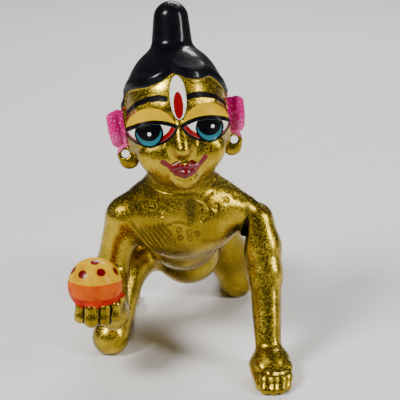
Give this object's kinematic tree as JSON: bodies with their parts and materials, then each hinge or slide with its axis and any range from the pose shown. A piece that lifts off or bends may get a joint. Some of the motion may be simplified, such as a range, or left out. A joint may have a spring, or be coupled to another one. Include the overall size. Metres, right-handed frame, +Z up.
{
  "type": "crawling idol figurine",
  "caption": "Solid cast brass household idol of a crawling child with a tall topknot, painted face, pierced ear lobes and a round sweet held on the raised hand.",
  "frame": {"origin": "on the ground plane, at the middle of the figure's box", "axes": "+Z up; the figure faces -Y; its left side, with the straight arm, is at +X"},
  "size_m": [0.0612, 0.0966, 0.1001],
  "materials": {
    "brass": "polished casting, painted hair, face, ears and sweet"
  },
  "bodies": {
    "root": {"idol": "brass"}
  },
  "joints": []
}
